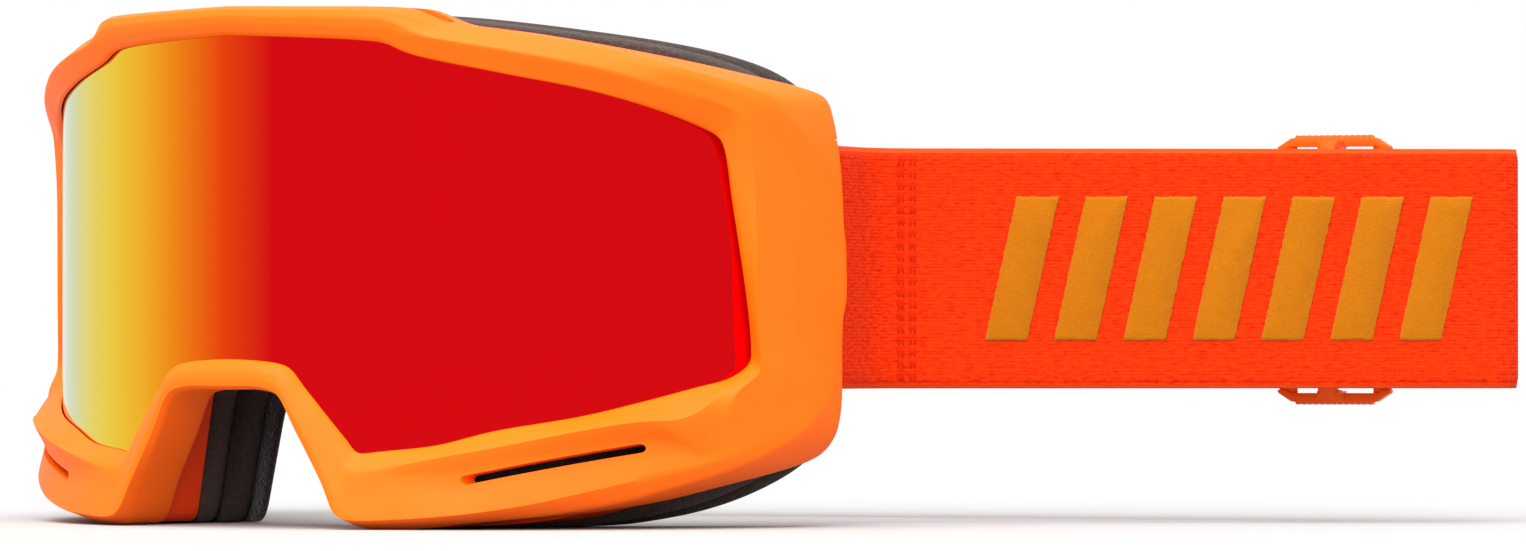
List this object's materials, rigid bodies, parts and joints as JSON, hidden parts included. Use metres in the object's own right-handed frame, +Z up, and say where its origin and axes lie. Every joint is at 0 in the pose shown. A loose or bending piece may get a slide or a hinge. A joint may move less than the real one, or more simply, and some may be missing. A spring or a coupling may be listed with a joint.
{
  "type": "ski goggles",
  "caption": "Ski goggles with a cylindrical mirrored double lens, a faceted frame with lower vents, layered face foam and an elastic strap with a sliding adjuster.",
  "frame": {"origin": "on the ground, below the axis of the lens cylinder, in the goggles' plane of symmetry", "axes": "+X to the wearer's left, +Y to the rear, +Z up; the lens looks along -Y"},
  "size_m": [0.266, 0.1733, 0.096],
  "materials": {
    "frame_orange": "matte orange thermoplastic urethane",
    "flange_orange": "deeper orange soft plastic",
    "red_mirror": "red mirror coating that turns yellow at a slant",
    "clear_lens": "tinted, anti-fog",
    "gasket_foam": "closed-cell foam",
    "filter_foam": "open-cell foam",
    "firm_foam": "grey-brown foam",
    "soft_foam": "brown foam",
    "fleece": "brushed fleece",
    "webbing": "heathered red-orange elastic webbing",
    "thread": "orange thread",
    "silicone": "translucent silicone beads",
    "flock": "flocked amber print",
    "adjuster_orange": "moulded orange plastic"
  },
  "bodies": {
    "goggles": {"frame_shell": "frame_orange", "face_flange": "flange_orange", "lens_outer": "red_mirror", "lens_spacer": "gasket_foam", "lens_inner": "clear_lens", "vent_foam_top": "filter_foam", "vent_foam_left": "filter_foam", "vent_foam_right": "filter_foam", "foam_base": "firm_foam", "foam_mid": "soft_foam", "face_fleece": "fleece"},
    "strap": {"strap_end_left": "webbing", "strap_near_run": "webbing", "strap_fold": "webbing", "strap_far_run": "webbing", "strap_loop_right": "webbing", "strap_tail": "webbing", "bartack_left": "thread", "grip_lines": "silicone", "tail_grip_lines": "silicone", "strap_motif": "flock"},
    "slider": {"adjuster": "adjuster_orange", "tail_wrap": "webbing", "tail_stitching": "thread"}
  },
  "joints": [
    {"name": "strap_tilt", "type": "hinge", "parent": "goggles", "child": "strap", "pos_m": [0, -0.016, 0.048], "axis": [1, 0, 0], "range_deg": [-8, 8]},
    {"name": "adjuster_slide", "type": "slide", "parent": "strap", "child": "slider", "axis": [-0.9528, -0.3036, 0], "range_m": [0, 0.16], "deforming": ["strap_tail", "tail_grip_lines"]}
  ]
}
